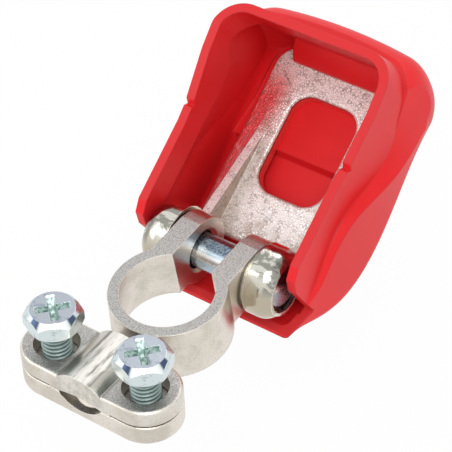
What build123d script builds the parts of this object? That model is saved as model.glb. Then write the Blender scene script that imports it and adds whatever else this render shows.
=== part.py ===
"""Quick-release battery terminal clamp, in millimetres, +Z up.

The post bore stands on Z with the lower face of the ring at z = 0. The hinge side of the
terminal points to +Y and its cable clamp to -Y. The lever stands open.
"""

import os
from math import cos, radians, sin

from build123d import *

os.makedirs("parts", exist_ok=True)

# Fits
RUN_FIT = 0.06          # radial clearance of a turning or sliding fit
TURN_GAP = 0.3          # side clearance between faces that pass each other

# Terminal body: ring for the tapered battery post
RING_H = 11.7
BORE_TOP_D = 18.6
POST_TAPER = 1 / 9      # on diameter
BORE_BOTTOM_D = BORE_TOP_D + RING_H * POST_TAPER
RING_TOP_D = 23.2
RING_BOTTOM_D = 23.9

# Terminal body: the two ears that the lever squeezes
SLOT_W = 9.3
EAR_T = 4.45
EAR_R = 7.1
HINGE_DROP = 7.4        # from the top face to the hinge pin axis
EAR_REACH = 17.5        # from the bore axis to the hinge pin axis
BOSS_R = 6.6
BOSS_H = 0.4
EAR_OUT = SLOT_W / 2 + EAR_T

# Hinge pin
PIN_D = 7.4
PIN_MOUTH = 1.15        # chamfer at the mouth of the ear holes
PIN_HEAD_R = 4.5
PIN_HEAD_T = 1.1
PIN_HEAD_GAP = 0.1      # under the riveted heads
HINGE_Y = EAR_REACH
HINGE_Z = RING_H - HINGE_DROP

# Cable clamp: base, saddle and screws
CLAMP_Y = -21.55
CLAMP_Z = 7.55
CLAMP_TILT = 4.8        # degrees, outer edge up
BAR_L = 34.8
BAR_W = 14.0
BASE_T = 4.6
NECK_W = 11.0
SCREW_X = BAR_L / 2 - BAR_W / 2
GROOVE_R = 6.2
GROOVE_DEPTH = 2.5
TOOTH_H = 0.55
TOOTH_PITCH = 2.4
TOOTH_COUNT = 5
TOOTH_HALF = 3.1        # the teeth run this far to each side
SADDLE_GAP = 0.35
SADDLE_T = 3.6
ARCH_R = 18.0           # shallow arch under the saddle
ARCH_DEPTH = 0.7
HUMP_R = 7.3
HUMP_RISE = 2.0
SADDLE_HOLE_D = 9.0
EDGE_R = 0.8
BASE_EDGE_R = 1.2
SEAM_R = 0.4

SCREW_D = 6.0
SCREW_L = 16.0
SCREW_TIP = 0.6         # chamfer at the end of the shank
SCREW_BACKED_OFF = 4.9  # from the saddle to the underside of the heads
HEAD_AF = 10.0
HEAD_H = 4.2
HEAD_CORNER_R = 5.77
HEAD_CHAMFER = 1.0      # across, at the corners of the head
HEAD_CHAMFER_H = 0.6
CROSS_W = 1.1
CROSS_L = 5.2
CROSS_DEPTH = 2.0

# Lever casting, in its own axes: s along the lever from the hinge, w square to its plate
OPEN_ANGLE = 30.2
PLATE_W_OFF = 12.0      # from the hinge axis to the inner face of the plate
PLATE_T = 3.0
PLATE_HALF = 15.8
PLATE_S0 = 6.0
PLATE_S1 = 48.4
PLATE_CORNER = 5.0
WINDOW_HALF = 7.75
WINDOW_S0 = 17.5
WINDOW_S1 = 39.5
WINDOW_CORNER = 4.3
RIB_IN = 10.5
RIB_T = 1.9
RIB_H = 5.7
RIB_S0 = 5.9
RIB_S1 = 29.3
RIB_LEAN = 1.5          # of the end face beside the hub
HUB_R = 7.5
HUB_IN = EAR_OUT + BOSS_H + TURN_GAP
HUB_OUT = 15.6
HUB_RIM_R = 5.9
HUB_DOME = [(2.4, 7.5), (4.0, 7.15)]             # distance from the inner face, radius
ARM = [(5.3, -4.6), (0.0, 0.0), (-5.3, -4.6), (4.0, -15.0)]
ARM_FOOT_S = 10.0       # the arms run into the plate up to here
RECESS_R = 5.2
RECESS_DEPTH = 2.0

# Moulded hood over the lever. Places are (s, w) pairs, sections go across the lever at s.
WALL = 1.9
RIDGE_WALL = 2.85       # at the ridge of the skirt, where the inside stays smooth
WALL_HALF = 19.2        # outer half width of the upper walls beside the hinge
FLARE_HALF = 20.4       # the same at the free end
FLARE_S0 = 21.0
FLARE_S1 = 36.0
WALL_DRAFT = 0.7        # the upper walls stand this much closer together at the floor
HOOD_CORNER = 6.8
FLOOR_ROUNDER = 1.6     # the corners of the upper walls are this much rounder at the floor
PLATE_PLAY = 1.5        # between the end of the plate and the end wall
END_LEAN = 4.4          # the end wall leans this far in at the rim
# s, half width and w at the waist, at the ridge and at the roof, radius of the roof edge,
# w of the crease in the room inside
SECTIONS = [
    (-10.0, 17.7, -1.8, 18.1, -2.8, 17.8, -7.0, 2.2, 0.3),
    (0.0, 18.7, -3.4, 19.3, -4.4, 19.5, -15.5, 3.2, 0.3),
    (9.0, 19.2, -1.4, 20.4, -2.3, 20.7, -19.8, 3.4, 0.8),
    (18.0, 19.2, -1.0, 21.1, -2.0, 20.9, -20.2, 3.4, 1.0),
    (27.0, 19.2, -4.6, 21.7, -6.8, 20.8, -19.0, 4.0, 1.6),
    (35.0, 19.8, -3.4, 21.7, -10.4, 20.3, -17.8, 4.4, 2.8),
    (44.0, 20.4, 1.8, 21.8, -11.5, 20.0, -17.2, 4.5, 5.0),
    (56.0, 20.8, 3.6, 22.3, -9.0, 19.8, -16.8, 4.5, 8.0)]
# w, s of its end and half width at levels of the finger lip
LIP_LEVELS = [(4.5, 47.8, 20.6), (0.0, 52.0, 21.2), (-4.5, 53.6, 21.6), (-9.0, 53.2, 21.7),
              (-14.0, 52.3, 20.9), (-18.0, 49.2, 19.8), (-23.0, 42.5, 18.6)]
LIP_CORNER = 7.5
LIP_BOW = 2.0           # the lip stands this much further out at its middle
LIP_S0 = 22.0           # the lip shapes the skirt from here on
LIP_CLEAR = 3.0         # and stands clear of it on the hinge side
TAIL_CORNER = 4.0
TAIL_HALF = 18.4
TAIL_S = -8.1
TAIL_TOP = -7.1
TAIL_END = -9.3
CUT_S = -1.0            # the side walls end here, above the tail
CUT_W = -8.0
RIM = [(-0.6, 3.0), (0.8, 6.2), (3.5, 7.6), (24.2, 8.0), (25.0, 6.9), (25.8, 8.3),
       (34.0, 10.0), (42.0, 11.6), (48.0, 11.4)]
FLOOR = [(-14.0, -0.9), (TAIL_S, TAIL_TOP + 0.4), (5.0, -15.9), (14.0, -17.7), (26.0, -16.8)]
STEP_S = 27.0           # from here on the plate lies on the floor
TONGUE_HALF = 11.6
TONGUE_S = 44.8
TONGUE_T = 1.2
TONGUE_BOW = (1.4, 3.2)         # the middle of its round face, from the front edge
TONGUE_RISE = 5.5

clamp_up = (0, sin(radians(CLAMP_TILT)), cos(radians(CLAMP_TILT)))
clamp_in = (0, cos(radians(CLAMP_TILT)), -sin(radians(CLAMP_TILT)))
clamp_at = (0, CLAMP_Y, CLAMP_Z)
clamp_seat = Plane(origin=clamp_at, x_dir=(1, 0, 0), z_dir=clamp_up)
clamp_side = Plane(origin=clamp_at, x_dir=clamp_in, z_dir=(1, 0, 0))
clamp_front = Plane(origin=clamp_at, x_dir=(1, 0, 0), z_dir=(0, -clamp_in[1], -clamp_in[2]))
clamp_axis = Axis(clamp_at, clamp_up)

lever_along = (0, cos(radians(OPEN_ANGLE)), sin(radians(OPEN_ANGLE)))
lever_square = (0, -sin(radians(OPEN_ANGLE)), cos(radians(OPEN_ANGLE)))
hinge_at = (0, HINGE_Y, HINGE_Z)
lever_side = Plane(origin=hinge_at, x_dir=lever_along, z_dir=(1, 0, 0))
lever_plan = Plane(origin=hinge_at, x_dir=(1, 0, 0), z_dir=lever_square)
lever_axis = Axis(hinge_at, lever_square)


# Terminal body: one casting
with BuildPart() as terminal_body:
    with BuildSketch(clamp_seat):
        SlotOverall(BAR_L, BAR_W)
        with Locations((0, BAR_W / 2)):
            Rectangle(NECK_W, BAR_W)
    extrude(amount=-BASE_T)
    fillet(terminal_body.edges().group_by(clamp_axis)[0], BASE_EDGE_R)
    fillet(terminal_body.edges().group_by(clamp_axis)[-1], SEAM_R)
    with BuildSketch(Plane.XZ):
        Polygon((0, 0), (RING_BOTTOM_D / 2, 0), (RING_TOP_D / 2, RING_H), (0, RING_H), align=None)
    revolve(axis=Axis.Z)
    with BuildSketch(Plane.YZ):
        with Locations((HINGE_Y, HINGE_Z)):
            Circle(EAR_R)
        with Locations(((RING_TOP_D / 2 + EAR_REACH) / 2, RING_H / 2)):
            Rectangle(EAR_REACH - RING_TOP_D / 2, RING_H)
        make_hull()
        with Locations((RING_TOP_D / 4, RING_H / 2)):
            Rectangle(RING_TOP_D / 2, RING_H)
    extrude(amount=EAR_OUT, both=True)
    with BuildSketch(Plane.YZ):
        with Locations((HINGE_Y, HINGE_Z)):
            Circle(BOSS_R)
    extrude(amount=EAR_OUT + BOSS_H, both=True)
    # tapered post bore and the slot between the ears
    with BuildSketch(Plane.XZ):
        Polygon((0, 0), (BORE_BOTTOM_D / 2, 0), (BORE_TOP_D / 2, RING_H), (0, RING_H), align=None)
    revolve(axis=Axis.Z, mode=Mode.SUBTRACT)
    with BuildSketch(Plane.XY.offset(-EAR_R)):
        with Locations((0, EAR_REACH)):
            Rectangle(SLOT_W, 2 * EAR_REACH)
    extrude(amount=RING_H + 2 * EAR_R, mode=Mode.SUBTRACT)
    # pin holes, open towards the slot
    with BuildSketch(Plane.YZ):
        with Locations((HINGE_Y, HINGE_Z)):
            Circle(PIN_D / 2 + RUN_FIT)
    extrude(amount=EAR_OUT + BOSS_H, both=True, mode=Mode.SUBTRACT)
    for side in (-1, 1):
        mouth = Plane(origin=(side * SLOT_W / 2, HINGE_Y, HINGE_Z), z_dir=(side, 0, 0))
        with BuildSketch(mouth):
            Circle(PIN_D / 2 + PIN_MOUTH)
        extrude(amount=PIN_MOUTH, taper=45, mode=Mode.SUBTRACT)
    # screw holes and the toothed cable groove
    with BuildSketch(clamp_seat):
        with Locations((-SCREW_X, 0), (SCREW_X, 0)):
            Circle(SCREW_D / 2 + RUN_FIT)
    extrude(amount=-BASE_T, mode=Mode.SUBTRACT)
    with BuildSketch(clamp_front):
        with Locations((0, GROOVE_R - GROOVE_DEPTH)):
            Circle(GROOVE_R)
    extrude(amount=BAR_W / 2, both=True, mode=Mode.SUBTRACT)
    for k in range(TOOTH_COUNT):
        y = (k - (TOOTH_COUNT - 1) / 2) * TOOTH_PITCH
        with BuildSketch(clamp_side):
            Polygon((y - TOOTH_H, -GROOVE_DEPTH - TOOTH_H), (y + TOOTH_H, -GROOVE_DEPTH - TOOTH_H),
                    (y + TOOTH_H, -GROOVE_DEPTH), (y, -GROOVE_DEPTH + TOOTH_H),
                    (y - TOOTH_H, -GROOVE_DEPTH), align=None)
        extrude(amount=TOOTH_HALF, both=True)
terminal_body.part.label = "terminal_body"
export_step(terminal_body.part, "parts/terminal_body.step")


# Saddle: presses the cable into the groove
saddle_seat = clamp_seat.offset(SADDLE_GAP)
saddle_front = Plane(origin=saddle_seat.origin, x_dir=clamp_front.x_dir, z_dir=clamp_front.z_dir)
saddle_side = Plane(origin=saddle_seat.origin, x_dir=clamp_side.x_dir, z_dir=clamp_side.z_dir)
with BuildPart() as saddle:
    with BuildSketch(saddle_seat):
        SlotOverall(BAR_L, BAR_W)
    extrude(amount=SADDLE_T)
    fillet(saddle.edges().group_by(clamp_axis)[-1], EDGE_R)
    fillet(saddle.edges().group_by(clamp_axis)[0], SEAM_R)
    with BuildSketch(saddle_front) as hump_section:
        with Locations((0, SADDLE_T + HUMP_RISE - HUMP_R)):
            Circle(HUMP_R)
        with Locations((0, -HUMP_R)):
            Rectangle(3 * HUMP_R, 2 * HUMP_R, mode=Mode.SUBTRACT)
    extrude(amount=BAR_W / 2, both=True)
    with BuildSketch(saddle_front):
        with Locations((0, ARCH_DEPTH - ARCH_R)):
            Circle(ARCH_R)
    extrude(amount=BAR_W / 2, both=True, mode=Mode.SUBTRACT)
    with BuildSketch(saddle_seat):
        with Locations((-SCREW_X, 0), (SCREW_X, 0)):
            Circle(SADDLE_HOLE_D / 2)
    extrude(amount=SADDLE_T, mode=Mode.SUBTRACT)
    for k in range(TOOTH_COUNT - 1):
        y = (k - (TOOTH_COUNT - 2) / 2) * TOOTH_PITCH
        with BuildSketch(saddle_side):
            Polygon((y - TOOTH_H, ARCH_DEPTH + TOOTH_H), (y + TOOTH_H, ARCH_DEPTH + TOOTH_H),
                    (y + TOOTH_H, ARCH_DEPTH), (y, ARCH_DEPTH - TOOTH_H),
                    (y - TOOTH_H, ARCH_DEPTH), align=None)
        extrude(amount=TOOTH_HALF, both=True)
saddle.part.label = "saddle"
export_step(saddle.part, "parts/saddle.step")


# Clamp screws
HEAD_UNDER = SADDLE_GAP + SADDLE_T + SCREW_BACKED_OFF
for side, name in ((-1, "screw_left"), (1, "screw_right")):
    head_under = Plane(origin=clamp_seat.from_local_coords((side * SCREW_X, 0, HEAD_UNDER)),
                       x_dir=(1, 0, 0), z_dir=clamp_up)
    head_side = Plane(origin=head_under.origin, x_dir=(1, 0, 0), z_dir=clamp_front.z_dir)
    with BuildPart() as screw:
        with BuildSketch(head_under):
            RegularPolygon(HEAD_AF / 2, 6, major_radius=False)
        extrude(amount=HEAD_H)
        with BuildSketch(head_side):
            Polygon((0, 0), (HEAD_CORNER_R, 0), (HEAD_CORNER_R, HEAD_H - HEAD_CHAMFER_H),
                    (HEAD_CORNER_R - HEAD_CHAMFER, HEAD_H), (0, HEAD_H), align=None)
        revolve(axis=Axis(head_under.origin, clamp_up), mode=Mode.INTERSECT)
        with BuildSketch(head_under.offset(HEAD_H)):
            Rectangle(CROSS_L, CROSS_W)
            Rectangle(CROSS_W, CROSS_L)
        extrude(amount=-CROSS_DEPTH, taper=8, mode=Mode.SUBTRACT)
        with BuildSketch(head_under):
            Circle(SCREW_D / 2)
        extrude(amount=-SCREW_L)
        chamfer(screw.edges().group_by(clamp_axis)[0], SCREW_TIP)
    screw.part.label = name
    export_step(screw.part, f"parts/{name}.step")


# Hinge pin with its two riveted heads
pin_end = HUB_OUT - RECESS_DEPTH + PIN_HEAD_GAP
with BuildPart() as hinge_pin:
    with BuildSketch(lever_side):
        Circle(PIN_D / 2)
    extrude(amount=pin_end, both=True)
    for side in (-1, 1):
        with BuildSketch(lever_side.offset(side * pin_end)):
            Circle(PIN_HEAD_R)
        extrude(amount=side * PIN_HEAD_T)
    for end in (0, -1):
        fillet(hinge_pin.edges().filter_by(GeomType.CIRCLE).group_by(Axis.X)[end], PIN_HEAD_T / 2)
hinge_pin.part.label = "hinge_pin"
export_step(hinge_pin.part, "parts/hinge_pin.step")


# Lever: one casting with its plate, two ribs, two arms and two hubs
plate_back = -PLATE_W_OFF - PLATE_T
with BuildPart() as lever:
    with BuildSketch(lever_plan.offset(-PLATE_W_OFF)) as plate_outline:
        with Locations((0, (PLATE_S0 + PLATE_S1) / 2)):
            Rectangle(2 * PLATE_HALF, PLATE_S1 - PLATE_S0)
        fillet(plate_outline.vertices().group_by(Axis.Y)[-1], PLATE_CORNER)
        with Locations((0, (WINDOW_S0 + WINDOW_S1) / 2)):
            RectangleRounded(2 * WINDOW_HALF, WINDOW_S1 - WINDOW_S0, WINDOW_CORNER, mode=Mode.SUBTRACT)
    extrude(amount=-PLATE_T)
    fillet(lever.edges().group_by(lever_axis)[-1], EDGE_R)
    for side in (-1, 1):
        with BuildSketch(lever_plan):
            with BuildLine():
                Polyline((side * HUB_OUT, HUB_RIM_R), (side * HUB_OUT, 0), (side * HUB_IN, 0),
                         (side * HUB_IN, HUB_DOME[0][1]), (side * (HUB_IN + HUB_DOME[0][0]), HUB_DOME[0][1]))
                Spline(*[(side * (HUB_IN + x), r) for x, r in HUB_DOME], (side * HUB_OUT, HUB_RIM_R))
            make_face()
        revolve(axis=Axis(hinge_at, (1, 0, 0)))
    for side in (-1, 1):
        with BuildSketch(lever_side.offset(side * HUB_IN)):
            Polygon(*ARM, (ARM_FOOT_S, plate_back), (ARM_FOOT_S, -PLATE_W_OFF),
                    (PLATE_S0, -PLATE_W_OFF), align=None)
        extrude(amount=side * HUB_DOME[-1][0])
        with BuildSketch(lever_side.offset(side * RIB_IN)):
            Polygon((RIB_S0, -PLATE_W_OFF - PLATE_T / 2), (RIB_S0, -PLATE_W_OFF),
                    (RIB_S0 + RIB_LEAN, RIB_H - PLATE_W_OFF), (RIB_S1, -PLATE_W_OFF),
                    (RIB_S1, -PLATE_W_OFF - PLATE_T / 2), align=None)
        extrude(amount=side * RIB_T)
    for side in (-1, 1):
        with BuildSketch(lever_side.offset(side * HUB_OUT)):
            Circle(RECESS_R)
        extrude(amount=-side * RECESS_DEPTH, mode=Mode.SUBTRACT)
    with BuildSketch(lever_side):
        Circle(PIN_D / 2 + RUN_FIT)
    extrude(amount=HUB_OUT, both=True, mode=Mode.SUBTRACT)
lever.part.label = "lever"
export_step(lever.part, "parts/lever.step")


# Hood: one moulding that clips over the lever
rim_top = HUB_R + PLATE_T + WALL
floor_w = -PLATE_W_OFF - PLATE_T
end_s = PLATE_S1 + PLATE_PLAY
rim_end_s = end_s - END_LEAN
skirt_w = min(row[6] for row in SECTIONS)
reach = 2 * end_s


def skirt_section(s, waist_half, waist_w, ridge_half, ridge_w, roof_half, roof_w, edge_r, crease_w,
                  wall=0.0):
    """Sketch across the skirt at s, drawn in by the wall when it is the room inside."""
    across = Plane(origin=lever_side.from_local_coords((s, 0, 0)), x_dir=(1, 0, 0),
                   z_dir=-lever_side.x_dir)
    if wall:
        side = [(waist_half - wall, crease_w), (ridge_half - RIDGE_WALL, ridge_w - wall / 4),
                (roof_half - wall, roof_w + wall)]
    else:
        side = [(waist_half, waist_w), (ridge_half, ridge_w), (roof_half, roof_w)]
    with BuildSketch(across) as section:
        Polygon(*side, *[(-x, w) for x, w in reversed(side)], align=None)
        fillet(section.vertices().group_by(Axis.Y)[0], edge_r - wall / 2)
    return section.sketch


def wall_plan(w, wall=0.0):
    """Plan of the upper walls at w, drawn in by the wall when it is the room inside."""
    lean = (rim_top - w) / (rim_top - floor_w)
    drawn_in = WALL_DRAFT * lean + wall
    wall_end_s = rim_end_s + END_LEAN * lean + WALL - wall
    side = [(WALL_HALF - drawn_in, CUT_S - wall), (WALL_HALF - drawn_in, FLARE_S0),
            (FLARE_HALF - drawn_in, FLARE_S1), (FLARE_HALF - drawn_in, wall_end_s)]
    with BuildSketch(lever_plan.offset(w)) as plan:
        Polygon(*side, *[(-x, s) for x, s in reversed(side)], align=None)
        fillet(plan.vertices().group_by(Axis.Y)[-1], HOOD_CORNER - wall + lean * FLOOR_ROUNDER)
    return plan.sketch


def lip_level(w, end, half, wall=0.0):
    """Plan of the skirt and its bowed lip at w, drawn in by the wall when it is the room inside."""
    corner_s = end - LIP_BOW - wall
    side = [(TAIL_HALF - wall, TAIL_END - wall), (half + LIP_CLEAR - wall, LIP_S0),
            (half - wall, end - LIP_CORNER - LIP_BOW), (half - wall, corner_s)]
    other_side = [(-x, s) for x, s in reversed(side)]
    with BuildSketch(lever_plan.offset(w)) as plan:
        with BuildLine():
            Polyline(*other_side, *side)
            ThreePointArc(side[-1], (0, end - wall), other_side[0])
        make_face()
        fillet(plan.vertices().group_by(Axis.Y)[-1], LIP_CORNER - wall)
        fillet(plan.vertices().group_by(Axis.Y)[0], TAIL_CORNER)
    return plan.sketch


with BuildPart() as hood_room:
    loft([skirt_section(*row, wall=WALL) for row in SECTIONS])
    loft([lip_level(*row, wall=WALL) for row in LIP_LEVELS], mode=Mode.INTERSECT)
    loft([wall_plan(floor_w, WALL), wall_plan(rim_top, WALL)])
    with BuildSketch(lever_side):
        Polygon(*FLOOR, (STEP_S, floor_w), (end_s, floor_w), (rim_end_s, rim_top),
                (FLOOR[0][0], rim_top), align=None)
    extrude(amount=reach, both=True, mode=Mode.INTERSECT)


with BuildPart() as cover:
    loft([skirt_section(*row) for row in SECTIONS])
    loft([lip_level(*row) for row in LIP_LEVELS], mode=Mode.INTERSECT)
    with BuildSketch(lever_side):
        Polygon((SECTIONS[-1][0], LIP_LEVELS[0][0]), (CUT_S, LIP_LEVELS[0][0]), (CUT_S, CUT_W),
                (TAIL_S, TAIL_TOP), (TAIL_END, TAIL_TOP - WALL / 2), (TAIL_END, 2 * skirt_w),
                (SECTIONS[-1][0], 2 * skirt_w), align=None)
    extrude(amount=reach, both=True, mode=Mode.INTERSECT)
    loft([wall_plan(CUT_W), wall_plan(rim_top)])
    with BuildSketch(lever_side):
        Polygon((CUT_S, CUT_W), *RIM, (reach, RIM[-1][1]), (reach, reach), (TAIL_S, reach),
                (TAIL_S, TAIL_TOP), align=None)
    extrude(amount=reach, both=True, mode=Mode.SUBTRACT)
    add(hood_room.part, mode=Mode.SUBTRACT)
    with BuildSketch(lever_side):
        with BuildLine():
            Polyline((end_s, TONGUE_RISE - PLATE_W_OFF), (end_s, -PLATE_W_OFF), (TONGUE_S, -PLATE_W_OFF),
                     (TONGUE_S, TONGUE_T - PLATE_W_OFF))
            ThreePointArc((TONGUE_S, TONGUE_T - PLATE_W_OFF),
                          (TONGUE_S + TONGUE_BOW[0], TONGUE_BOW[1] - PLATE_W_OFF),
                          (end_s, TONGUE_RISE - PLATE_W_OFF))
        make_face()
    extrude(amount=TONGUE_HALF, both=True)
cover.part.label = "cover"
export_step(cover.part, "parts/cover.step")
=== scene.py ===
"""Quick-release battery terminal clamp: finishes of the castings, the lever and the hood, two cut-thread
clamp screws, and the studio they stand in.

Lengths in the classes are in millimetres unless a name says metres.
"""

from __future__ import annotations

import logging
from dataclasses import dataclass
from enum import Enum
from math import atan2, cos, pi, radians, sin
from typing import Optional, Union

import bmesh
import bpy
from mathutils import Matrix, Vector

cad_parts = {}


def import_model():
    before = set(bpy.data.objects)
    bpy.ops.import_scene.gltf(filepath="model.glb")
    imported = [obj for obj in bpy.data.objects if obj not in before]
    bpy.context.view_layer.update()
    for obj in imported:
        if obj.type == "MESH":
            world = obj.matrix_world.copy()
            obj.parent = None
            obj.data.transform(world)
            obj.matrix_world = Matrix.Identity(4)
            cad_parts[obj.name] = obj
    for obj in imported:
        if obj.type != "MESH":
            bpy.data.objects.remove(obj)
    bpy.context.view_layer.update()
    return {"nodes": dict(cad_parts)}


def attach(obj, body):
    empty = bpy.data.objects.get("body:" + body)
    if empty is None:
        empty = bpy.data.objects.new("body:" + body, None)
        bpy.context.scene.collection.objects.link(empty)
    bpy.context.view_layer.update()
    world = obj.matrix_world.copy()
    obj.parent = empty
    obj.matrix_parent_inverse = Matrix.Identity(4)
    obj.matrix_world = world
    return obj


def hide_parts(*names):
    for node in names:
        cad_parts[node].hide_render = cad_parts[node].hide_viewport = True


log = logging.getLogger("terminal_clamp")

MM = 0.001
Colour = tuple[float, float, float]
Span = tuple[float, float]
Number = Union[int, float, "Field"]

# Places that the finishes and the screws share with the solids
HINGE = Vector((0.0, 17.5, 4.3))
OPEN_ANGLE = radians(30.2)
CLAMP_SEAT = Vector((0.0, -21.55, 7.55))
CLAMP_TILT = radians(4.8)
LEVER_TURN = (-OPEN_ANGLE, 0.0, 0.0)
CLAMP_TURN = (CLAMP_TILT, 0.0, 0.0)

# Cosine of the angle between a rounded normal and its face, where the rubbed wear and painted highlight of an
# edge begin and end
EDGE_TURN: Span = (0.995, 0.93)


class Side(Enum):
    """Which of the two clamp screws."""

    LEFT = -1
    RIGHT = 1

    @property
    def word(self) -> str:
        """Name of the side as the solids use it."""
        return self.name.lower()


@dataclass(frozen=True)
class Grain:
    """Noise: distance between its lumps, octaves, strength of the finer octaves, and its own distortion."""

    pitch: float
    detail: float = 3.0
    rough: float = 0.55
    wobble: float = 0.0


class Field:
    """A number that varies over a surface, taken from a node's socket and combined by plain arithmetic."""

    def __init__(self, sheet: "NodeSheet", socket: bpy.types.NodeSocket) -> None:
        """Wrap a socket.

        Args:
            sheet: the material that the socket's node is in.
            socket: the output that carries the number.
        """
        self.sheet = sheet
        self.socket = socket

    def combine(self, operation: str, first: Number, second: Number = 0.0) -> "Field":
        """Add a Math node.

        Args:
            operation: its operation.
            first: its first value or link.
            second: its second value or link.

        Returns:
            The field that the node gives.
        """
        maths = self.sheet.node("ShaderNodeMath", {"operation": operation}, {0: first, 1: second})
        return Field(self.sheet, maths.outputs[0])

    def __add__(self, other: Number) -> "Field":
        """Sum with a field or a number."""
        return self.combine("ADD", self, other)

    def __sub__(self, other: Number) -> "Field":
        """Difference from a field or a number."""
        return self.combine("SUBTRACT", self, other)

    def __rsub__(self, other: Number) -> "Field":
        """A number less this field."""
        return self.combine("SUBTRACT", other, self)

    def __mul__(self, other: Number) -> "Field":
        """Product with a field or a number."""
        return self.combine("MULTIPLY", self, other)

    def __pow__(self, other: Number) -> "Field":
        """This field raised to a power."""
        return self.combine("POWER", self, other)

    __radd__ = __add__
    __rmul__ = __mul__

    def ramp(self, low: float, high: float) -> "Field":
        """Smooth step of this field.

        Args:
            low: value that becomes 0.
            high: value that becomes 1.

        Returns:
            A field from 0 to 1.
        """
        step = self.sheet.node("ShaderNodeMapRange", {"interpolation_type": "SMOOTHSTEP"},
                               {"Value": self, "From Min": low, "From Max": high})
        return Field(self.sheet, step.outputs["Result"])

    def bearing(self, across: Number) -> "Field":
        """Angle of the point whose two coordinates are across and this field, from the first axis."""
        return self.combine("ARCTAN2", self, across)

    def reach(self, other: "Field") -> "Field":
        """Distance from the origin of the point whose coordinates are this field and another."""
        return (self * self + other * other) ** 0.5

    def within(self, half: float, soft: float) -> "Field":
        """1 up to a distance from 0 on both sides, falling softly to 0 over a width beyond it."""
        return self.size().ramp(half + soft, half)

    def near(self, value: float, spread: float) -> "Field":
        """1 where this field is at a value, falling softly to 0 at a spread on both sides."""
        return (self - value).size().ramp(spread, 0.5 * spread)

    def size(self) -> "Field":
        """This field without its sign."""
        return self.combine("ABSOLUTE", self)


class NodeSheet:
    """A node tree that is being filled."""

    def __init__(self, tree: bpy.types.NodeTree) -> None:
        """Empty the tree.

        Args:
            tree: the nodes of a material or of the surroundings.
        """
        self.tree = tree
        self.tree.nodes.clear()

    def node(self, kind: str, settings: dict, inputs: dict) -> bpy.types.Node:
        """Add a node.

        Args:
            kind: its type.
            settings: its own settings, set first.
            inputs: values or links of its sockets, by name or number.

        Returns:
            The node.
        """
        node = self.tree.nodes.new(kind)
        for name, value in settings.items():
            setattr(node, name, value)
        for key, value in inputs.items():
            if isinstance(value, Field):
                value = value.socket
            if isinstance(value, bpy.types.NodeSocket):
                self.tree.links.new(value, node.inputs[key])
            else:
                node.inputs[key].default_value = value
        return node

    def shown(self) -> Field:
        """1 for rays that the camera or a polished face sends out."""
        path = self.node("ShaderNodeLightPath", {}, {})
        straight = Field(self, path.outputs["Is Camera Ray"])
        return (straight + Field(self, path.outputs["Is Glossy Ray"])).ramp(0.0, 1.0)


@dataclass(frozen=True)
class Place:
    """Where a point of the surface lies and which way it faces, in the axes of its piece."""

    where: bpy.types.NodeSocket
    x: Field
    y: Field
    z: Field
    facing_x: Field
    facing_z: Field


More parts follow.
